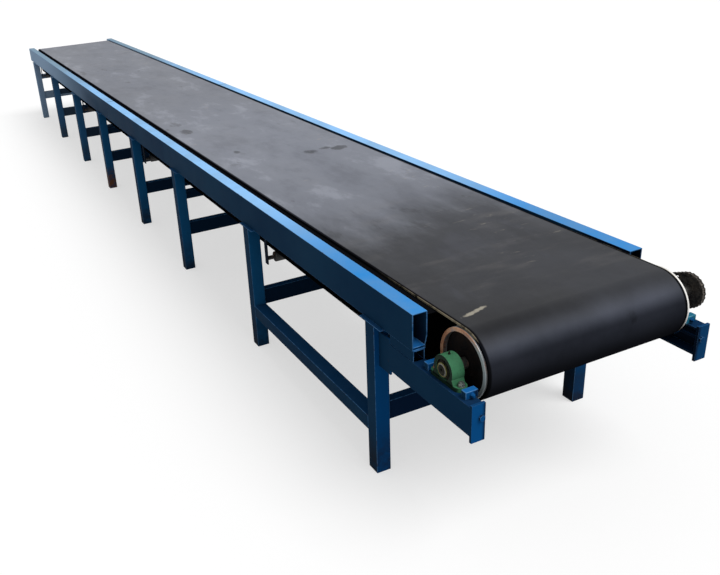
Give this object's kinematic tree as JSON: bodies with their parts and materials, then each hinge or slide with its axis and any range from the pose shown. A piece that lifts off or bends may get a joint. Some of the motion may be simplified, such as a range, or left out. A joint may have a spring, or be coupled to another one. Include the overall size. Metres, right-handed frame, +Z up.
{
  "type": "flat belt conveyor",
  "caption": "Long flat belt conveyor: wide rubber belt between box rails on welded H-frame legs, driven head drum in pillow blocks on channel beams.",
  "frame": {"origin": "on the floor, in the middle of the box that holds the whole conveyor", "axes": "+X along the belt towards the driven head end, +Y towards the chain side, +Z up"},
  "size_m": [8.454, 1.255, 0.77],
  "materials": {
    "blue_paint": "gloss enamel, dusty on top",
    "belt_rubber": "smooth black rubber, dusty and scratched",
    "drum_steel": "bare steel with rust at the rim",
    "shaft_steel": "turned steel",
    "collar_brass": "yellow passivated",
    "chain_steel": "oiled dark steel",
    "bearing_green": "green enamel on cast iron",
    "bearing_teal": "teal enamel on cast iron",
    "bed_sheet": "plain steel sheet",
    "gearbox_paint": "dark enamel on a casting",
    "motor_paint": "blue enamel"
  },
  "bodies": {
    "root": {"bed_bars": "bed_sheet", "belt": "belt_rubber", "drive_chain": "chain_steel", "far_bearing_stops": "bearing_teal", "far_head_beam": "blue_paint", "far_head_bearing": "bearing_teal", "far_head_spacer": "blue_paint", "far_rail_head": "blue_paint", "far_rail_tail": "blue_paint", "far_stretcher": "blue_paint", "far_tail_bearing": "bearing_teal", "far_tail_plate": "blue_paint", "far_take_up": "blue_paint", "gearbox": "gearbox_paint", "leg_frame_1": "blue_paint", "leg_frame_2": "blue_paint", "leg_frame_3": "blue_paint", "leg_frame_4": "blue_paint", "leg_frame_5": "blue_paint", "leg_frame_6": "blue_paint", "leg_frame_7": "blue_paint", "leg_frame_8": "blue_paint", "motor": "motor_paint", "motor_shelf": "blue_paint", "motor_sprocket": "chain_steel", "near_bearing_stops": "blue_paint", "near_head_beam": "blue_paint", "near_head_bearing": "bearing_green", "near_head_spacer": "blue_paint", "near_rail_head": "blue_paint", "near_rail_tail": "blue_paint", "near_stretcher": "blue_paint", "near_tail_bearing": "bearing_teal", "near_tail_plate": "blue_paint", "near_take_up": "blue_paint", "return_brackets": "blue_paint", "return_rollers": "shaft_steel", "slider_bed": "bed_sheet"},
    "head_roller": {"head_drum": "drum_steel", "head_shaft": "shaft_steel", "head_shaft_collars": "collar_brass", "head_sprocket": "chain_steel"},
    "tail_roller": {"tail_drum": "drum_steel", "tail_shaft": "shaft_steel"}
  },
  "joints": [
    {"name": "head_roller_spin", "type": "hinge", "parent": "root", "child": "head_roller", "pos_m": [4.054, -0.12, 0.64], "axis": [0, 1, 0], "continuous": true},
    {"name": "tail_roller_spin", "type": "hinge", "parent": "root", "child": "tail_roller", "pos_m": [-4.086, -0.12, 0.64], "axis": [0, 1, 0], "continuous": true}
  ]
}
